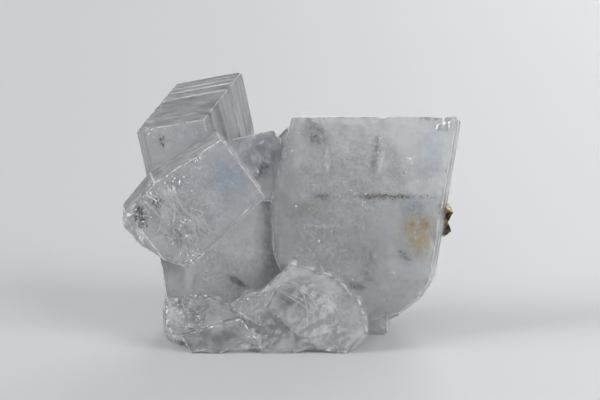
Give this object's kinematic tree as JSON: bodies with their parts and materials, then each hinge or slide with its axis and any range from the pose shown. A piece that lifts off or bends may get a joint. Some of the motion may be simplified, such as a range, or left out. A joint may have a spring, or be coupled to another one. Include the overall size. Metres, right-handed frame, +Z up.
{
  "type": "barite crystal cluster with pyrite",
  "caption": "Translucent grey-white barite crystals grown together into one upright cluster, with a small knot of brassy pyrite on the right edge.",
  "frame": {"origin": "middle of the footprint of the whole cluster, on the surface it rests on", "axes": "+Z up; +X to the right along the longest extent, towards the big plate's free edge; +Y to the back, so the big plate's broad face looks along -Y"},
  "size_m": [0.0684, 0.0436, 0.053],
  "materials": {
    "barite": "satin",
    "pyrite": "metallic, brassy brown with dark tarnish"
  },
  "bodies": {
    "root": {"barite_cluster": "barite", "pyrite_knot": "pyrite"}
  },
  "joints": []
}
